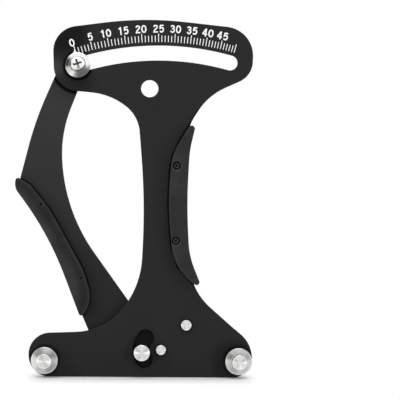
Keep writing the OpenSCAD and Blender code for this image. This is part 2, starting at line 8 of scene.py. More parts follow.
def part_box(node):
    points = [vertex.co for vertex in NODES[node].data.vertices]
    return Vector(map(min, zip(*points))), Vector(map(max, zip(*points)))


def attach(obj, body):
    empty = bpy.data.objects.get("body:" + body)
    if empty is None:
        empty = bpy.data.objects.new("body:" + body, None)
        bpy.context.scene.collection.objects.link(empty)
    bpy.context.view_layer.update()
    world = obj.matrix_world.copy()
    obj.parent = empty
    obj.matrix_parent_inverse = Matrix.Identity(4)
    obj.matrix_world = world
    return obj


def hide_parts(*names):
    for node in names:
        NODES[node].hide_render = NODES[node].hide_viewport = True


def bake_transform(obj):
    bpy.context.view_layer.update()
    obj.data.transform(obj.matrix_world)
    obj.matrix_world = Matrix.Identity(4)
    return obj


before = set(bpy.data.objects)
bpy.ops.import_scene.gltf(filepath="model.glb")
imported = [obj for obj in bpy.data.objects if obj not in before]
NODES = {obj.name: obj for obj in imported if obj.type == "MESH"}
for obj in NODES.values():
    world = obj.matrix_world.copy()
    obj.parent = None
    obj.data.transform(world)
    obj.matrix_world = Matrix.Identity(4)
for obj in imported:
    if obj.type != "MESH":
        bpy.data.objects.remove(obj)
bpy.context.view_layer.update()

# ---------------------------------------------------------------------------------------------
# Main plate. One piece of 3 mm steel, cut to its outline with the pointer's arc slot, the moving
# post's slot and the hanging hole, tumbled so that its edges are just broken, and powder coated
# in a fine satin black.
# ---------------------------------------------------------------------------------------------

MM = 0.001


class Varying:
    """A number or colour that changes over a surface. Sums on it become nodes of its tree."""

    def __init__(self, nodes, socket):
        self.nodes = nodes
        self.socket = socket

    def math(self, operation, *terms):
        """The result of a Math node on some terms, of which this number is one."""
        return self.nodes.node("ShaderNodeMath", {"operation": operation}, dict(enumerate(terms)))

    def __add__(self, other):
        return self.math("ADD", self, other)

    def __sub__(self, other):
        return self.math("SUBTRACT", self, other)

    def __rsub__(self, other):
        return self.math("SUBTRACT", other, self)

    def __mul__(self, other):
        return self.math("MULTIPLY", self, other)

    def __truediv__(self, other):
        return self.math("DIVIDE", self, other)

    def __pow__(self, other):
        return self.math("POWER", self, other)

    def __abs__(self):
        return self.math("ABSOLUTE", self)

    __radd__ = __add__
    __rmul__ = __mul__

    def mapped(self, low, high, to_low=0.0, to_high=1.0):
        """The number with the stretch from low to high laid smoothly on to_low to to_high."""
        return self.nodes.node(
            "ShaderNodeMapRange", {"interpolation_type": "SMOOTHSTEP"},
            {0: self, 1: low, 2: high, 3: to_low, 4: to_high},
        )

    def fading(self, full, gone):
        """1 where the number is up to full, and 0 where it is past gone."""
        return self.mapped(full, gone, 1.0, 0.0)


def largest(numbers):
    """The largest of some numbers, of which the first varies."""
    most, *others = numbers
    for number in others:
        most = most.math("MAXIMUM", most, number)
    return most


class Nodes:
    """A tree of shader nodes that is built up from expressions."""

    def __init__(self, tree):
        self.tree = tree

    def put(self, socket, value):
        if isinstance(value, Varying):
            self.tree.links.new(value.socket, socket)
        else:
            socket.default_value = value

    def node(self, kind, settings, inputs, out=0):
        made = self.tree.nodes.new(kind)
        for name, value in settings.items():
            setattr(made, name, value)
        for name, value in inputs.items():
            self.put(made.inputs[name], value)
        return Varying(self, made.outputs[out])


class Finish(Nodes):
    """A material that is built up node by node on a Principled shader."""

    def __init__(self, name):
        self.material = bpy.data.materials.new(name)
        self.material.use_nodes = True
        super().__init__(self.material.node_tree)
        self.shader = self.tree.nodes["Principled BSDF"]

    def place(self):
        """Where a point lies in the row's frame at rest, in metres."""
        return self.node("ShaderNodeTexCoord", {}, {}, out="Object")

    def along(self, axis, vector):
        return self.node("ShaderNodeSeparateXYZ", {}, {0: vector}, out=axis)

    def facing(self, axis):
        """How squarely the surface faces along an axis, from -1 to 1."""
        return self.along(axis, self.node("ShaderNodeNewGeometry", {}, {}, out="Normal"))

    def apart(self, x, z):
        """Distance from a line along Y, in metres."""
        place = self.place()
        across = self.along("X", place) - x
        up = self.along("Z", place) - z
        return (across * across + up * up) ** 0.5

    def spot(self, x, z, full, gone):
        """1 up to the radius full from a line along Y and 0 past gone, all in millimetres."""
        return self.apart(x * MM, z * MM).fading(full * MM, gone * MM)

    def outside(self, corners):
        """Distance in metres beyond a convex run of corners in millimetres, with what it bounds
        on its left."""
        place = self.place()
        x = self.along("X", place)
        z = self.along("Z", place)
        beyond = []
        for (x0, z0), (x1, z1) in zip(corners, corners[1:]):
            length = math.hypot(x1 - x0, z1 - z0)
            right, up = (z1 - z0) / length, (x0 - x1) / length
            beyond.append(x * right + z * up - (x0 * right + z0 * up) * MM)
        return largest(beyond)

    def noise(self, grain, detail=3.0):
        """Noise whose blotches are about grain across, in metres."""
        return self.node(
            "ShaderNodeTexNoise", {},
            {"Vector": self.place(), "Scale": 1 / grain, "Detail": detail, "Roughness": 0.55},
        )

    def mixed(self, share, first, second):
        """A colour between two colours."""
        return self.node(
            "ShaderNodeMix", {"data_type": "RGBA"}, {0: share, 6: first, 7: second}, out=2
        )

    def scaled(self, colour, factor):
        return self.node(
            "ShaderNodeVectorMath", {"operation": "MULTIPLY"}, {0: colour, 1: factor}
        )

    def bumped(self, height, depth, under=None):
        """A normal tilted by a height from 0 to 1 that stands for depth metres."""
        inputs = {"Strength": 1.0, "Distance": depth, "Height": height}
        if under:
            inputs["Normal"] = under
        return self.node("ShaderNodeBump", {}, inputs, out="Normal")

    def surface(self, **sockets):
        """Sets the shader's sockets, with _ for the spaces in their names."""
        for name, value in sockets.items():
            self.put(self.shader.inputs[name.replace("_", " ")], value)
        return self.material


def grey(level, warm=0.0):
    """A colour from a grey level in linear light, a little warmer where warm is above 0."""
    return (level * (1 + warm), level, level * (1 - warm), 1.0)


def dress(node, material, edge, segments=2):
    """Gives a CAD node one material and rounds its sharp edges to a width. The mesh stays as it
    is: modifiers close its seams, and join the slivers of each flat face, so that none of their
    lines is rounded or shaded as an edge."""
    piece = NODES[node]
    if not piece.material_slots:
        piece.data.materials.append(material)
    for slot in piece.material_slots:
        slot.material = material
    weld = piece.modifiers.new("weld", "WELD")
    weld.merge_threshold = 0.002 * MM
    flats = piece.modifiers.new("whole_flats", "DECIMATE")
    flats.decimate_type = "DISSOLVE"
    flats.angle_limit = math.radians(0.2)
    bevel = piece.modifiers.new("broken_edges", "BEVEL")
    bevel.limit_method = "ANGLE"
    bevel.angle_limit = math.radians(40)
    bevel.width = edge
    bevel.segments = segments
    bevel.harden_normals = True
    bevel.use_clamp_overlap = True


# How light a deep painted shadow leaves the coat, in the corners round what stands on a plate.
# Such a painted shadow has no sheen, and a black that is mostly metallic has none either
DEEP_SHADE = 0.1
DEEP_SHADE_METALLIC = 0.75
# Where the painted shadow line beside a grip begins to thin and where it ends, how far it runs
# past the grip's ends, and the share of the light that it takes
CREASE = (0.6 * MM, 1.4 * MM)
CREASE_END = 1 * MM
CREASE_SHADOW_DEPTH = 0.96
# The heights between which the coat is painted lighter towards the top, as the light falls there
TOP_LIGHT_HEIGHTS = (0.03, 0.17)


def powder_coat(name, level, shades, crease, top_light=1.0, crease_shadow=1.0):
    """Satin black powder coat: a fine peel and faint clouds, with the edges of its flats a little
    lighter in blotches. Towards the top of the meter it is painted lighter, as the light falls
    there, up to the given times as light as at the foot. Each shade is a patch of painted shade,
    painted shadow or painted sheen on its front: x, z, the radii in millimetres where it is full
    and gone, and how many times as light it is. The crease is the edge of the grip that lies on
    the front, with a painted shadow line along it; the last argument is 1 where that line is full
    and less where it is fainter."""
    f = Finish(name)
    front = f.facing("Y").fading(-0.9, -0.3)
    up = f.along("Z", f.place())
    # Painted light: the coat grows lighter towards the top, as the light falls there
    light = up.mapped(*TOP_LIGHT_HEIGHTS, 1.0, top_light)
    deep_shades = []
    # Painted shades, shadows and sheen on the front; the deepest painted shadows also lose their
    # sheen
    for x, z, full, gone, times in shades:
        here = f.spot(x, z, full, gone)
        light = light * (1 + front * here * (times - 1))
        if times == DEEP_SHADE:
            deep_shades.append(here)
    # A painted shadow line beside the grip's edge, without sheen, fading out past the grip's ends
    lowest = min(z for x, z in crease) * MM
    highest = max(z for x, z in crease) * MM
    beside = f.outside(crease).fading(*CREASE)
    beside = beside * up.mapped(lowest - CREASE_END, lowest)
    beside = beside * up.fading(highest, highest + CREASE_END)
    light = light * (1 - CREASE_SHADOW_DEPTH * crease_shadow * front * beside)
    deep_shades.append(crease_shadow * beside)
    clouds = f.noise(24 * MM, detail=4.0)
    peel = f.noise(0.35 * MM, detail=2.0)
    flat = abs(f.facing("Y"))
    # The edges of the flats are a little lighter, in blotches
    lighter_edges = (flat.mapped(0.15, 0.5) * flat.fading(0.9, 0.99)).mapped(0.2, 0.9)
    edge_lightening = lighter_edges * f.noise(1.6 * MM, detail=4.0).mapped(0.35, 0.6)
    base = f.mixed(clouds, grey(0.85 * level), grey(1.15 * level))
    return f.surface(
        Base_Color=f.mixed(edge_lightening * 0.55, f.scaled(base, light), grey(3.2 * level)),
        Metallic=front * largest(deep_shades) * DEEP_SHADE_METALLIC,
        Roughness=0.46 + 0.1 * peel + 0.06 * clouds,
        Specular_IOR_Level=0.11,
        Normal=f.bumped(peel, 0.02 * MM),
    )


PLATE_EDGE = 0.28 * MM
# Painted shade on the head behind the zero and below the pointer, a painted sheen left of the
# pointer, and painted shadows round each post and pin, round the pointer's washer and by the slot
PLATE_SHADOWS_AND_SHEEN = [
    (-44, 197, 6, 17, 0.12), (-38, 170, 2, 14, 0.45), (-50, 178, 1, 7, 2.2),
    (-55.5, 9.8, 8.2, 9.6, 0.2), (55.5, 9.8, 8.2, 9.6, 0.2), (52, 10, 8, 15, 0.6),
    (11.2, 15.7, 3.2, 4.2, 0.3), (25.7, 30, 3.4, 4.4, 0.3), (-37.6, 179.2, 7.9, 9.3, DEEP_SHADE),
    (1, 15, 8, 12, 0.7),
]
# The left edge of the frame's grip, downwards, with the grip on the left of the way along it
FRAME_GRIP_EDGE = [
    (32.5, 153.9), (21.3, 135.7), (17.8, 128), (16.2, 120.1), (15.2, 100), (16.9, 76.3),
    (20.9, 63.8), (29.8, 54), (35.1, 50.2),
]
plate_black = powder_coat("plate_black", 0.0135, PLATE_SHADOWS_AND_SHEEN, FRAME_GRIP_EDGE)
dress("main_plate", plate_black, PLATE_EDGE)

# ---------------------------------------------------------------------------------------------
# Scale print. White ink screened on the coat: a graduation for each of fifty divisions, longer
# at the fives, and the plain numbers 0 to 45 over them, all square to the slot's arc.
# ---------------------------------------------------------------------------------------------

INK = 0.03 * MM
SLOT_CENTRE = Vector((9.6 * MM, 0, 33.7 * MM))
DIVISIONS = 50
FIVES = 5
MARK_FOOT = 159.3 * MM
LONG_TOP = 164.2 * MM
SHORT_TOP = 163.05 * MM
MARK_WIDTH = 0.42 * MM
plate_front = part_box("main_plate")[0].y

# The zero lies this many degrees left of upright. A division is this wide at the zero, and
# widens a little at first and then closes up to the right
ZERO_LEFT = 17.57
DIVISION = 0.6914
WIDENING = 0.00056
CLOSING = 0.0000228


def reading_angle(reading):
    """Degrees of a reading from upright, clockwise."""
    return DIVISION * reading + WIDENING * reading ** 2 - CLOSING * reading ** 3 - ZERO_LEFT


def on_arc(angle):
    """Where something drawn upright about the slot's centre goes at an angle from upright."""
    return Matrix.Translation(SLOT_CENTRE) @ Matrix.Rotation(math.radians(angle), 4, "Y")


def placed(name, data):
    """A new object in the scene."""
    piece = bpy.data.objects.new(name, data)
    bpy.context.scene.collection.objects.link(piece)
    return piece


def meshed(name, made, material):
    """The mesh of what was made, in its material."""
    mesh = bpy.data.meshes.new(name)
    made.to_mesh(mesh)
    made.free()
    mesh.materials.append(material)
    return mesh


def white_ink():
    """Matt white ink, slightly uneven where the screen left less of it."""
    f = Finish("scale_ink")
    cover = f.noise(0.5 * MM).mapped(0.3, 0.75)
    return f.surface(
        Base_Color=f.mixed(cover, grey(0.72), grey(0.93)),
        Roughness=0.55 + 0.2 * cover,
        Specular_IOR_Level=0.3,
    )


def drawn_marks():
    """A bar of ink for each graduation."""
    made = bmesh.new()
    for reading in range(DIVISIONS + 1):
        top = LONG_TOP if reading % FIVES == 0 else SHORT_TOP
        size = (MARK_WIDTH, INK, top - MARK_FOOT, 1)
        middle = Vector((0, plate_front - INK / 2, (top + MARK_FOOT) / 2))
        at = on_arc(reading_angle(reading)) @ Matrix.Translation(middle) @ Matrix.Diagonal(size)
        bmesh.ops.create_cube(made, size=1, matrix=at)
    return made


def rounded(points):
    """Points along a smooth line through the given ones."""
    steps = 6
    ends = [points[0], *points, points[-1]]
    line = []
    for i in range(len(points) - 1):
        a, b, c, d = (Vector(p) for p in ends[i:i + 4])
        for k in range(steps):
            t = k / steps
            line.append(0.5 * (
                2 * b + (c - a) * t + (2 * a - 5 * b + 4 * c - d) * t ** 2
                + (3 * b - a - 3 * c + d) * t ** 3
            ))
    return line + [Vector(points[-1])]


# Each figure is drawn with one width of stroke on a height of 1, about its middle
HALF_STROKE = 0.083
OVAL_HALF_WIDTH = 0.243
OVAL_HALF_HEIGHT = 0.405
OVAL_POINTS = 28
OVAL_SQUARED = 0.9
OVAL = [
    (
        OVAL_HALF_WIDTH * math.copysign(abs(math.sin(a)) ** OVAL_SQUARED, math.sin(a)),
        OVAL_HALF_HEIGHT * math.cos(a),
    )
    for a in (2 * math.pi * k / OVAL_POINTS for k in range(OVAL_POINTS))
]
FIGURES = {
    "0": [OVAL],
    "1": [[(0.08, -0.5), (0.08, 0.5)], rounded([(-0.17, 0.245), (-0.03, 0.31), (0.07, 0.44)])],
    "2": [
        rounded([(-0.21, 0.2), (-0.15, 0.36), (0.01, 0.405), (0.17, 0.34), (0.19, 0.18),
                 (0.07, 0), (-0.1, -0.16), (-0.2, -0.36)]),
        [(-0.29, -0.41), (0.28, -0.41)],
    ],
    "3": [
        rounded([(-0.2, 0.26), (-0.12, 0.38), (0.02, 0.405), (0.17, 0.33), (0.17, 0.16),
                 (0.06, 0.06), (-0.06, 0.045)]),
        rounded([(-0.04, 0.045), (0.1, 0.03), (0.205, -0.08), (0.2, -0.28), (0.07, -0.395),
                 (-0.09, -0.39), (-0.21, -0.23)]),
    ],
    "4": [
        [(0.1, -0.5), (0.1, 0.5)],
        [(0.06, 0.44), (-0.25, -0.17)],
        [(-0.3, -0.205), (0.3, -0.205)],
    ],
    "5": [
        [(0.25, 0.405), (-0.17, 0.405)],
        [(-0.135, 0.44), (-0.2, -0.05)],
        rounded([(-0.21, 0.02), (-0.07, 0.12), (0.08, 0.115), (0.2, 0.02), (0.2, -0.23),
                 (0.08, -0.38), (-0.09, -0.395), (-0.205, -0.285)]),
    ],
}
NUMBER_RADIUS = 167.0 * MM
NUMBER_HEIGHT = 4.6 * MM
FIGURE_STEP = 0.745
# How much higher each further stroke of a figure lies, as a share of the ink
STROKE_OVER = 0.2
# The screen was not quite even: some numbers lie off their marks, in millimetres across and up
NUMBER_SHIFTS = {
    0: (-0.5, -0.5), 5: (0.5, 0), 10: (-0.6, 0), 15: (-0.5, 0), 20: (-0.25, 0), 45: (-0.3, 0),
}


def stroke_faces(made, line, closed, lift, place):
    """A flat stroke along a line of points in a number's own plane."""
    sides = []
    count = len(line)
    for i, p in enumerate(line):
        ahead = line[(i + 1) % count] if closed or i + 1 < count else p
        behind = line[i - 1] if closed or i else p
        way = (ahead - behind).normalized()
        out = Vector((-way.y, way.x)) * HALF_STROKE
        sides.append([
            made.verts.new(place @ Vector((q.x, lift, q.y))) for q in (p + out, p - out)
        ])
    for i in range(count if closed else count - 1):
        here, there = sides[i], sides[(i + 1) % count]
        made.faces.new((here[0], there[0], there[1], here[1]))


def drawn_number(value):
    """A number in plain upright figures over its mark. Each stroke lies a hair over the last."""
    made = bmesh.new()
    figures = str(value)
    aside, above = NUMBER_SHIFTS.get(value, (0, 0))
    foot = Matrix.Translation((aside * MM, plate_front, NUMBER_RADIUS + above * MM))
    height = Matrix.Diagonal((NUMBER_HEIGHT, 1, NUMBER_HEIGHT, 1))
    for i, figure in enumerate(figures):
        across = (i - (len(figures) - 1) / 2) * FIGURE_STEP
        place = on_arc(reading_angle(value)) @ foot @ height @ Matrix.Translation((across, 0, 0))
        for k, line in enumerate(FIGURES[figure]):
            points = [Vector(p) for p in line]
            stroke_faces(made, points, line is OVAL, -INK * (1 + STROKE_OVER * k), place)
    return made


ink = white_ink()
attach(placed("scale_marks", meshed("scale_marks", drawn_marks(), ink)), "frame")
for value in range(0, DIVISIONS, FIVES):
    name = "scale_number_%d" % value
    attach(placed(name, meshed(name, drawn_number(value), ink)), "frame")

# ---------------------------------------------------------------------------------------------
# Fixed posts. Stainless bar turned in one piece, a barrel with a smaller boss, faced off so that
# fine rings show, and screwed on from behind with cross-head pan screws.
# ---------------------------------------------------------------------------------------------

# How softly a ring of light ends, and an arm of a screw's cross
RING_SOFT = 0.1
ARM_SOFT = 0.15 * MM
# The spacing of the tool's rings, and of the bands in which it cut a little deeper
TOOL_FEED = 0.12 * MM
TOOL_BAND = 0.45 * MM
# A rim's painted shade above and painted shine below: direction, spread, share and grey level
RIM_LIGHT = ((0, 90, 0.35, 0.12), (180, 100, 0.6, 0.95))
# Widths of broken edges: on posts and nuts, on pins and screws, on washers and black screws, and
# on thin pieces
POST_EDGE = 0.12 * MM
SCREW_EDGE = 0.1 * MM
WASHER_EDGE = 0.08 * MM
THIN_EDGE = 0.05 * MM


def turned_steel(
    node, level, wedges, rims=(), boss=None, shadow_ring=None, cross=None, metal="steel", warm=0.01
):
    """Bright stainless steel faced on a lathe about the axis of a node that lies along Y. The
    tool's fine rings throw the light in wedges, which are painted highlights and painted shades
    in its colour, and its walls are painted darker as shade. All radii are in millimetres.
    wedges: a direction and a spread in degrees clockwise from upright, a grey level, two radii.
    rims: two radii with a broken edge between them, painted darker above and brighter below.
    boss: its radius and its own level. The argument after it is a painted shadow ring: x and z,
    its two radii and its level.
    cross: a screw's reach and half the width of an arm, the level of the painted shade in its
    recess, and the level and the direction of the painted highlight on the arm that the light
    falls into."""
    low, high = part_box(node)
    half = (high.x - low.x) / 2
    middle = Vector((low.x + half, 0, low.z + half))
    f = Finish("%s_%s" % (node, metal))
    x = f.along("X", f.place()) - middle.x
    z = f.along("Z", f.place()) - middle.z
    radius = f.apart(middle.x, middle.z)

    def between(distance, inner, outer):
        start = distance.mapped((inner - RING_SOFT) * MM, (inner + RING_SOFT) * MM)
        return start * distance.fading((outer - RING_SOFT) * MM, (outer + RING_SOFT) * MM)

    def towards(direction, spread):
        way = math.radians(direction)
        share = (x * math.sin(way) + z * math.cos(way)) / (radius + 0.01 * MM)
        full = math.cos(math.radians(0.25 * spread))
        return share.mapped(math.cos(math.radians(spread)), full)

    colour = grey(level, warm)
    if boss:
        size, shade = boss
        inside = radius.fading((size - RING_SOFT) * MM, size * MM)
        colour = f.mixed(inside, colour, grey(shade, warm))
    # Painted highlights and painted shades in wedges, where the tool's rings throw the light
    for direction, spread, shade, inner, outer in wedges:
        share = towards(direction, spread) * between(radius, inner, outer)
        colour = f.mixed(share, colour, grey(shade, warm))
    # Painted shade above each rim and painted shine below it
    for inner, outer in rims:
        edge = between(radius, inner, outer)
        for direction, spread, share, shade in RIM_LIGHT:
            lit = towards(direction, spread) * edge * share
            colour = f.mixed(lit, colour, grey(shade, warm))
    # A painted shadow ring
    if shadow_ring:
        shadow_x, shadow_z, inner, outer, shade = shadow_ring
        ring = between(f.apart(shadow_x * MM, shadow_z * MM), inner, outer)
        colour = f.mixed(ring * 0.6, colour, grey(shade, warm))
    uneven = f.node(
        "ShaderNodeTexNoise", {"noise_dimensions": "1D"},
        {"W": radius / TOOL_BAND, "Scale": 1.0, "Detail": 3.0},
    )
    turns = radius * (2 * math.pi / TOOL_FEED)
    rings = turns.math("SINE", turns)
    colour = f.scaled(colour, 0.84 + 0.32 * uneven)
    # Painted shade in the cross's recess, and a painted highlight on the arm that the light falls
    # into
    if cross:
        reach, arm, dark, bright, way = cross
        sin, cos = math.sin(math.radians(way)), math.cos(math.radians(way))
        arms = [radius.fading(arm * MM, arm * MM + ARM_SOFT)]
        for wide in (x * cos - z * sin, x * sin + z * cos):
            arms.append(abs(wide).fading(arm * MM, arm * MM + ARM_SOFT))
        sunk = largest(arms) * radius.fading((reach - 0.3) * MM, reach * MM)
        lit = towards(way, 30) * between(radius, 0.6, 9)
        colour = f.mixed(sunk, colour, f.mixed(lit, grey(dark, warm), grey(bright, warm)))
    # The walls are painted darker, a painted shade
    side = abs(f.facing("Y")).fading(0.2, 0.6)
    return f.surface(
        Base_Color=f.scaled(colour, 1 - 0.3 * side),
        Metallic=1.0,
        Roughness=0.24 + 0.1 * uneven - 0.14 * side,
        Normal=f.bumped(rings * 0.2 + uneven * 0.8, 0.006 * MM),
    )


# Where the painted wedges of highlight and shade lie on the two fixed posts: the first ones on
# the barrel, the rest on the boss
BARREL = (4.4, 9.0)
BOSS = (0.0, 4.3)
LEFT_WEDGES = [
    (258, 40, 0.74, *BARREL), (58, 24, 0.3, *BARREL), (322, 32, 0.3, *BARREL),
    (140, 45, 0.33, *BARREL), (10, 20, 0.58, *BARREL),
    (98, 26, 0.93, *BOSS), (270, 22, 0.92, *BOSS), (328, 30, 0.54, *BOSS), (152, 22, 0.54, *BOSS),
]
RIGHT_WEDGES = [
    (300, 22, 0.29, *BARREL), (100, 30, 0.62, *BARREL), (212, 30, 0.39, *BARREL),
    (60, 24, 0.43, *BARREL), (268, 14, 0.62, *BARREL), (0, 16, 0.6, *BARREL),
    (60, 22, 0.5, *BOSS), (215, 20, 0.6, *BOSS), (300, 20, 0.52, *BOSS), (92, 16, 0.86, *BOSS),
    (165, 20, 0.84, *BOSS), (272, 12, 0.76, *BOSS),
]
POST_RIMS = ((3.75, 4.3), (7.15, 9))
for post, wedges, level, boss_level in (
    ("fixed_post_left", LEFT_WEDGES, 0.5, 0.66), ("fixed_post_right", RIGHT_WEDGES, 0.53, 0.7),
):
    steel = turned_steel(post, level, wedges, rims=POST_RIMS, boss=(BOSS[1], boss_level))
    dress(post, steel, POST_EDGE)


def zinc_plate():
    """Zinc plate on screws and washers: soft, slightly clouded metal."""
    f = Finish("zinc_plate")
    level, warm = 0.62, 0.03
    clouds = f.noise(1.2 * MM)
    return f.surface(
        Base_Color=f.mixed(clouds, grey(0.85 * level, warm), grey(1.12 * level, warm)),
        Metallic=1.0,
        Roughness=0.28 + 0.16 * clouds,
        Normal=f.bumped(f.noise(0.25 * MM), 0.012 * MM),
    )


zinc = zinc_plate()
dress("fixed_post_screws", zinc, SCREW_EDGE)

# ---------------------------------------------------------------------------------------------
# Pivot. A turned pin pressed through the main plate, with a thin nylon spacer between the plates,
# and behind the lever a steel washer and an open spring-steel ring in the pin's groove.
# ---------------------------------------------------------------------------------------------


def natural_nylon():
    """Natural nylon, slightly translucent looking and a little uneven."""
    f = Finish("natural_nylon")
    clouds = f.noise(3 * MM)
    return f.surface(
        Base_Color=f.mixed(clouds, (0.74, 0.73, 0.66, 1), (0.84, 0.83, 0.77, 1)),
        Roughness=0.38 + 0.12 * clouds,
        Normal=f.bumped(f.noise(0.3 * MM), 0.01 * MM),
    )


def spring_steel():
    """Drawn and hardened wire: darker than the turned pieces, with faint clouds."""
    f = Finish("spring_steel")
    clouds = f.noise(0.8 * MM)
    return f.surface(
        Base_Color=f.mixed(clouds, grey(0.3), grey(0.46)),
        Metallic=1.0,
        Roughness=0.26 + 0.14 * clouds,
        Normal=f.bumped(f.noise(0.15 * MM), 0.008 * MM),
    )


white_nylon = natural_nylon()
hard_wire = spring_steel()
# Radii that take in the whole face of any small turned piece
FACE = (0, 9)
PIN_LEVEL = 0.68
# Painted wedges of highlight and shade on the faces of the pins and studs
PIN_WEDGES = [
    (0, 18, 0.78, *FACE), (90, 16, 0.78, *FACE), (168, 24, 0.8, *FACE), (270, 16, 0.78, *FACE),
    (58, 16, 0.54, *FACE), (122, 12, 0.56, *FACE), (215, 20, 0.53, *FACE), (302, 16, 0.54, *FACE),
]
pin_steel = turned_steel("pivot_pin", PIN_LEVEL, PIN_WEDGES, rims=((2.35, FACE[1]),))
dress("pivot_pin", pin_steel, SCREW_EDGE)
dress("pivot_spacer", white_nylon, THIN_EDGE)
dress("pivot_rear_washer", zinc, WASHER_EDGE)
dress("pivot_clip", hard_wire, WASHER_EDGE)

# ---------------------------------------------------------------------------------------------
# Return spring. A close-wound extension spring of 1.2 mm wire behind the lever, hooked on two
# necked studs: the anchor is riveted in the main plate, and the other in the lever's tail.
# ---------------------------------------------------------------------------------------------

for stud in ("spring_anchor_stud", "lever_spring_stud"):
    stud_steel = turned_steel(stud, PIN_LEVEL, PIN_WEDGES, rims=((2.5, FACE[1]),))
    dress(stud, stud_steel, SCREW_EDGE)

# The wire is drawn a hair thin, so that neighbouring curls stay clear, and its ends are broken
WIRE = 1.2 * MM
WIRE_THIN = 0.97
WIRE_END = 0.7
WIRE_SIDES = 12
SPRING_OUTSIDE = 7.0 * MM
CURLS = 6
CURL_STEPS = 24
HOOK_ARC = 200
HOOK_STEPS = 24
BEND = 1.3 * MM
BEND_STEPS = 8
NECK_RADIUS = 1.8 * MM
NECK_PLAY = 0.25 * MM
STUD_RADIUS = 3.0 * MM
COIL_PLAY = 0.3 * MM
anchor_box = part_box("spring_anchor_stud")
tail_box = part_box("lever_spring_stud")
spring_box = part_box("tension_spring")
upper_stud = (anchor_box[0] + anchor_box[1]) / 2
lower_stud = (tail_box[0] + tail_box[1]) / 2
spring_y = (spring_box[0].y + spring_box[1].y) / 2


def spring_line():
    """The wire's middle line about the point midway between the studs: hook, coil, hook."""
    half = (upper_stud.z - lower_stud.z) / 2
    coil = (SPRING_OUTSIDE - WIRE) / 2
    hook = NECK_RADIUS + WIRE / 2 + NECK_PLAY
    coil_half = half - STUD_RADIUS - WIRE / 2 - COIL_PLAY
    start = math.radians(HOOK_ARC)
    tip = Vector((hook * math.cos(start), 0, half + hook * math.sin(start)))
    upper = [tip + WIRE * Vector((-math.sin(start), 0, math.cos(start)))]
    for k in range(HOOK_STEPS + 1):
        a = start * (1 - k / HOOK_STEPS)
        upper.append(Vector((hook * math.cos(a), 0, half + hook * math.sin(a))))
    for k in range(BEND_STEPS):
        a = math.pi / 2 * k / BEND_STEPS
        aside, down = BEND * (1 - math.cos(a)), BEND * (1 - math.sin(a))
        upper.append(Vector((hook, aside, coil_half + down)))
    join = math.asin(BEND / coil)
    steps = CURLS * CURL_STEPS
    curls = []
    for k in range(steps + 1):
        a = join + (2 * math.pi * CURLS - 2 * join) * k / steps
        down = coil_half * (1 - 2 * k / steps)
        curls.append(Vector((coil * math.cos(a), coil * math.sin(a), down)))
    lower = [Vector((p.x, -p.y, -p.z)) for p in reversed(upper)]
    return upper + curls + lower


def wound_wire():
    """A round wire along the spring's line."""
    line = spring_line()
    made = bmesh.new()
    side = Vector((0, 1, 0))
    middle = (upper_stud + lower_stud) / 2
    middle.y = spring_y
    rings = []
    for i, p in enumerate(line):
        way = (line[min(i + 1, len(line) - 1)] - line[max(i - 1, 0)]).normalized()
        side = (side - side.dot(way) * way).normalized()
        over = way.cross(side)
        end = i in (0, len(line) - 1)
        width = WIRE / 2 * (WIRE_END if end else WIRE_THIN)
        ring = []
        for k in range(WIRE_SIDES):
            a = 2 * math.pi * k / WIRE_SIDES
            out = (math.cos(a) * side + math.sin(a) * over) * width
            ring.append(made.verts.new(middle + p + out))
        rings.append(ring)
    for here, there in zip(rings, rings[1:]):
        for k in range(WIRE_SIDES):
            n = (k + 1) % WIRE_SIDES
            made.faces.new((here[k], there[k], there[n], here[n]))
    made.faces.new(rings[0])
    made.faces.new(list(reversed(rings[-1])))
    bmesh.ops.recalc_face_normals(made, faces=made.faces)
    for face in made.faces:
        face.smooth = len(face.verts) == 4
    return made


return_spring = placed("return_spring", meshed("return_spring", wound_wire(), hard_wire))
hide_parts("tension_spring")
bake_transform(return_spring)

# ---------------------------------------------------------------------------------------------
# Frame grip. Two black plastic mouldings clasp the right of the stem, with their lips round the
# plate's edge, and two black cross-head screws go in from the front.
# ---------------------------------------------------------------------------------------------

GRIP_EDGE = 0.7 * MM
GRIP_SEGMENTS = 3
HEAD_HOLE = 2.27
FRAME_GRIP_SCREWS = [(19.6, 121.8), (19.3, 78.6)]


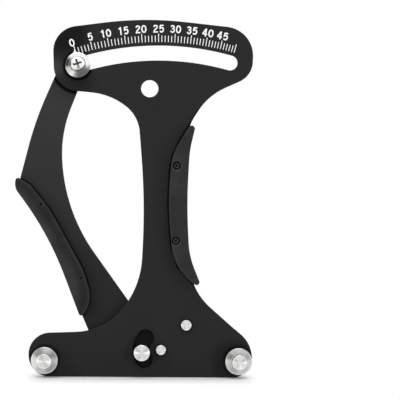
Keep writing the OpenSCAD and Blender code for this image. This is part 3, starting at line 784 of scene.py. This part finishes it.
def moulded_black(name, level, edge, lit_side, screws, hole, trough_shade=0.0):
    """Matt black plastic moulded against a spark-eroded cavity, with the soft hollows of a thick
    moulding. The edge is its inner one, in millimetres. A narrow strip along it has a painted
    highlight, and so have the rounded walls that face along X, where lit_side is 1, or against
    it, where that is -1. The argument after the holes' radius sets a painted shade that runs
    beside the edge, with the moulding lighter further in. The screws are at x and z, and the
    holes for them, of one radius, are painted black as shade, each with a painted highlight on
    its rim."""
    f = Finish(name)
    soft = f.noise(11 * MM, detail=2.0)
    grain = f.noise(0.28 * MM, detail=2.0)
    flat = abs(f.facing("Y"))
    lighter_edges = flat.mapped(0.25, 0.6) * flat.fading(0.85, 0.985)
    # Painted highlight on the rounded walls that face the light
    lighter_edges = lighter_edges * (f.facing("X") * lit_side).mapped(0.1, 0.5)
    inside = 0 - f.outside(edge)
    # A painted highlight along the inner edge
    ridge = inside.mapped(-0.1 * MM, 0.2 * MM) * inside.fading(0.7 * MM, 1.2 * MM)
    colour = f.mixed(soft.mapped(0.38, 0.6), grey(0.75 * level), grey(1.08 * level))
    # Painted shade beside the inner edge, with the moulding lighter further in
    colour = f.scaled(colour, inside.mapped(3 * MM, 9 * MM, 1 - trough_shade, 1 + 0.8 * trough_shade))
    colour = f.scaled(colour, 1 + ridge * (0.25 + 1.6 * trough_shade))
    colour = f.mixed(lighter_edges * 0.8, colour, grey(3 * level))
    dark = []
    for x, z in screws:
        # A painted highlight on each hole's rim, and painted shade that fills the hole, black and
        # without sheen
        lip = f.spot(x + 0.35, z - 0.5, hole + 0.4, hole + 0.8)
        colour = f.scaled(colour, 1 + lip * 0.6)
        dark.append(f.spot(x, z, hole, hole + 0.15))
        colour = f.mixed(dark[-1], colour, grey(0.002))
    return f.surface(
        Base_Color=colour,
        Metallic=0.9 * largest(dark),
        Roughness=0.5 + 0.1 * grain,
        Specular_IOR_Level=0.16,
        Normal=f.bumped(grain, 0.02 * MM, under=f.bumped(soft, 0.5 * MM)),
    )


frame_grip_black = moulded_black(
    "frame_grip_plastic", 0.018, FRAME_GRIP_EDGE, -1, FRAME_GRIP_SCREWS, HEAD_HOLE
)
for half in ("frame_grip_front", "frame_grip_rear"):
    dress(half, frame_grip_black, GRIP_EDGE, GRIP_SEGMENTS)


def black_oxide(name, node, screws, from_front):
    """Blackened steel with the shine of the oil on it. The middle of each head is a little
    lighter, and the cross in it is painted dark as shade."""
    f = Finish(name)
    low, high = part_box(node)
    y = f.along("Y", f.place())
    depth = y - low.y if from_front else high.y - y
    # Painted shade in each cross's recess
    cross = depth.mapped(0.08 * MM, 0.3 * MM) * depth.fading(0.9 * MM, 1.1 * MM)
    head = depth.fading(1.2 * MM, 1.4 * MM)
    clouds = f.noise(0.9 * MM)
    colour = grey(0.006)
    for x, z in screws:
        lighter_middle = f.spot(x, z, 1.3, 1.6) * head
        colour = f.mixed(lighter_middle * (0.6 + 0.4 * clouds), colour, grey(0.07))
    return f.surface(
        Base_Color=f.mixed(cross, colour, grey(0.004)),
        Metallic=1.0,
        Roughness=0.34 + 0.2 * clouds,
        Normal=f.bumped(f.noise(0.2 * MM), 0.01 * MM),
    )


frame_screw_black = black_oxide(
    "frame_grip_screw_black", "frame_grip_screws", FRAME_GRIP_SCREWS, from_front=True
)
dress("frame_grip_screws", frame_screw_black, WASHER_EDGE)

# ---------------------------------------------------------------------------------------------
# Lever. A second 3 mm plate behind the first, cut and coated like it, with the elbow that the
# palm pushes on. The moving post is turned like the fixed ones and screwed on from behind.
# ---------------------------------------------------------------------------------------------

# Painted shadows on the lever: round the moving post in its slot, and under the head's lower
# corner
LEVER_SHADOWS = [(0, 17, 9, 13, 0.3), (-36.9, 179.4, 15.8, 17.4, DEEP_SHADE)]
# The inner edge of the lever's grip, upwards, with the grip on the left of the way along it
LEVER_GRIP_EDGE = [
    (-34.6, 34.4), (-33.3, 36), (-30.2, 43.3), (-30.7, 51.4), (-34, 61.6), (-53.5, 96.3),
    (-64.8, 110.5), (-72.8, 115.3),
]
# Painted lighter towards the top, as the light falls there, with a fainter painted shadow line
lever_black = powder_coat(
    "lever_black", 0.012, LEVER_SHADOWS, LEVER_GRIP_EDGE, top_light=2.1, crease_shadow=0.75
)
dress("lever_plate", lever_black, PLATE_EDGE)
# Painted wedges of highlight and shade on the moving post's face
MOVER_WEDGES = [
    (90, 20, 0.92, *FACE), (270, 20, 0.9, *FACE), (0, 18, 0.74, *FACE), (180, 18, 0.74, *FACE),
    (55, 18, 0.5, *FACE), (303, 20, 0.5, *FACE), (212, 16, 0.52, *FACE),
]
mover_steel = turned_steel("moving_post", 0.65, MOVER_WEDGES, rims=((4.1, FACE[1]),))
dress("moving_post", mover_steel, SCREW_EDGE)
dress("moving_post_screw", zinc, SCREW_EDGE)

# ---------------------------------------------------------------------------------------------
# Pointer. A cross-head pan screw holds a turned washer with a tip against a steel bush that
# slides in the arc slot; nylon keeps the plates apart, and a locking nut closes it behind.
# ---------------------------------------------------------------------------------------------

# A painted shadow ring round the screw, which isn't at the middle of the washer's disc: x, z,
# its two radii and its level
SCREW_SHADOW_RING = (-37.8, 180.05, 4.25, 4.95, 0.2)
DISC = (0, 20)
# Painted wedges of highlight and shade on the washer
WASHER_WEDGES = [
    (240, 20, 0.62, *DISC), (150, 74, 0.13, *DISC), (284, 38, 0.05, *DISC), (214, 14, 0.8, *DISC),
]
# Painted wedges of highlight and shade on the screw's head
HEAD_WEDGES = [(165, 34, 0.5, 1.6, 5), (272, 24, 0.34, 2.2, 5), (345, 20, 0.66, 1.5, 2.9)]
# Painted shade in the cross's recess, with a painted highlight on the arm the light falls into
HEAD_CROSS = (2.7, 0.45, 0.05, 0.3, 161)
washer_steel = turned_steel("pointer_washer", 0.86, WASHER_WEDGES, shadow_ring=SCREW_SHADOW_RING)
screw_zinc = turned_steel(
    "pointer_screw", 0.9, HEAD_WEDGES, cross=HEAD_CROSS, metal="zinc", warm=0.02
)
dress("pointer_washer", washer_steel, WASHER_EDGE)
dress("pointer_screw", screw_zinc, SCREW_EDGE)
dress("pointer_bush", zinc, THIN_EDGE)
dress("pointer_slide_washer", white_nylon, THIN_EDGE)
dress("pointer_rear_washer", zinc, WASHER_EDGE)
dress("pointer_nut", zinc, POST_EDGE)

# ---------------------------------------------------------------------------------------------
# Lever grip. Two more mouldings clasp the lever's outer edge from the elbow down; their screws go
# in from behind, so that the front shows only two small holes.
# ---------------------------------------------------------------------------------------------

LEVER_GRIP_SCREWS = [(-58.4, 99.1), (-35.1, 56.8)]
TIP_HOLE = 0.62
for half, hole in (("lever_grip_front", TIP_HOLE), ("lever_grip_rear", HEAD_HOLE)):
    lever_grip_black = moulded_black(
        half + "_plastic", 0.019, LEVER_GRIP_EDGE, 1, LEVER_GRIP_SCREWS, hole, trough_shade=0.5
    )
    dress(half, lever_grip_black, GRIP_EDGE, GRIP_SEGMENTS)
lever_screw_black = black_oxide(
    "lever_grip_screw_black", "lever_grip_screws", LEVER_GRIP_SCREWS, from_front=False
)
dress("lever_grip_screws", lever_screw_black, WASHER_EDGE)

# ---------------------------------------------------------------------------------------------
# Studio. A pale floor that the meter stands on, a white surround, softboxes on both sides and
# one above, and a camera square to the plates with a long lens.
# ---------------------------------------------------------------------------------------------

FLOOR_HALF = 6.0
# The floor's own level, which lights the meter from below, and the darker level that the camera
# sees, a painted shade that deepens the meter's shadow near the foot
FLOOR_LEVEL = 0.9
FLOOR_SEEN = 0.64
# The shadow lies along the foot, over this much of each half of it, and ends this many times
# sooner past the foot's ends than before it. The floor runs into white between two distances
SHADOW_HALF = 0.054
SHADOW_SOONER = 5
SHADOW_FADES = (0.005, 0.068)


def camera_ray(nodes):
    """1 for what the camera sees itself."""
    return nodes.node("ShaderNodeLightPath", {}, {}, out="Is Camera Ray")


def shown_ray(nodes):
    """1 for what the camera sees, also off metal or through glass."""
    off_metal = nodes.node("ShaderNodeLightPath", {}, {}, out="Is Glossy Ray")
    through_glass = nodes.node("ShaderNodeLightPath", {}, {}, out="Is Transmission Ray")
    return largest([camera_ray(nodes), off_metal, through_glass])


def white_floor():
    """Matt white that keeps the meter's shadow near its foot, where the camera sees it darker as
    a painted shade, and runs into the white surround beyond."""
    f = Finish("floor_white")
    place = f.place()
    beyond = largest([abs(f.along("X", place)) - SHADOW_HALF, 0.0]) * SHADOW_SOONER
    before = f.along("Y", place)
    away = (beyond * beyond + before * before) ** 0.5
    f.surface(
        # The camera sees the floor darker than it lights the meter: a painted shade near the foot
        Base_Color=f.mixed(camera_ray(f), grey(FLOOR_LEVEL), grey(FLOOR_SEEN)),
        Roughness=0.9,
        Specular_IOR_Level=0.0,
    )
    matt = Varying(f, f.shader.outputs[0])
    glow = f.node("ShaderNodeEmission", {}, {"Color": grey(1.0)})
    white = away.mapped(*SHADOW_FADES) * shown_ray(f)
    blend = f.node("ShaderNodeMixShader", {}, {0: white, 1: matt, 2: glow})
    f.put(f.tree.nodes["Material Output"].inputs["Surface"], blend)
    return f.material


def floor():
    """A flat square under the foot."""
    mesh = bpy.data.meshes.new("floor")
    corners = [(-1, -1), (1, -1), (1, 1), (-1, 1)]
    mesh.from_pydata([(x * FLOOR_HALF, y * FLOOR_HALF, 0) for x, y in corners], [], [range(4)])
    mesh.materials.append(white_floor())
    placed("floor", mesh)


def surround(level):
    """Pale all round at a level, and white where the camera sees it, also off metal."""
    world = bpy.data.worlds.new("surround")
    world.use_nodes = True
    bpy.context.scene.world = world
    sky = Nodes(world.node_tree)
    sockets = sky.tree.nodes["Background"].inputs
    sky.put(sockets["Color"], grey(1.0))
    sky.put(sockets["Strength"], level + (1 - level) * shown_ray(sky))


# Where each softbox stands, its width and height, and its power in watts
SOFTBOXES = (
    ("softbox_left", (-0.95, -0.7, 0.55), (0.7, 0.9), 7.0),
    ("softbox_right", (1.0, -0.6, 0.45), (0.6, 0.9), 5.0),
    ("softbox_top", (0.0, -0.3, 1.2), (1.2, 0.8), 7.0),
)
METER_MIDDLE = Vector((0, 0, 0.1))


def softbox(name, place, size, power):
    """A rectangle of light that is aimed at the meter's middle."""
    lamp = bpy.data.lights.new(name, "AREA")
    lamp.shape = "RECTANGLE"
    lamp.size, lamp.size_y = size
    lamp.energy = power
    holder = placed(name, lamp)
    holder.location = place
    holder.rotation_euler = (METER_MIDDLE - Vector(place)).to_track_quat("-Z", "Y").to_euler()


floor()
surround(0.5)
for box in SOFTBOXES:
    softbox(*box)

# Where the picture's parts lie, in its own 400 pixels: the row's origin, and the camera's axis
PICTURE = 400
ORIGIN_AT = Vector((141.25, 377.1))
AXIS_AT = Vector((120.0, 238.0))
PIXEL = 0.5758 * MM
ROLL = math.radians(0.35)
LENS = 180.0
SENSOR = 36.0


def camera():
    """A long lens square to the plates, moved and shifted so that the meter fills the picture."""
    distance = LENS / SENSOR * PICTURE * PIXEL
    right = Vector((math.cos(ROLL), 0, math.sin(ROLL)))
    up = Vector((-math.sin(ROLL), 0, math.cos(ROLL)))
    across = (AXIS_AT.x - ORIGIN_AT.x) * PIXEL
    above = (ORIGIN_AT.y - AXIS_AT.y) * PIXEL
    data = bpy.data.cameras.new("camera")
    data.lens = LENS
    data.sensor_width = SENSOR
    data.shift_x = 0.5 - AXIS_AT.x / PICTURE
    data.shift_y = AXIS_AT.y / PICTURE - 0.5
    data.clip_start = 0.01
    holder = placed("camera", data)
    turn = Matrix((right, up, Vector((0, -1, 0)))).transposed().to_4x4()
    place = Vector((0, plate_front - distance, 0)) + right * across + up * above
    holder.matrix_world = Matrix.Translation(place) @ turn
    bpy.context.scene.camera = holder


camera()
bpy.context.scene.view_settings.view_transform = "Standard"
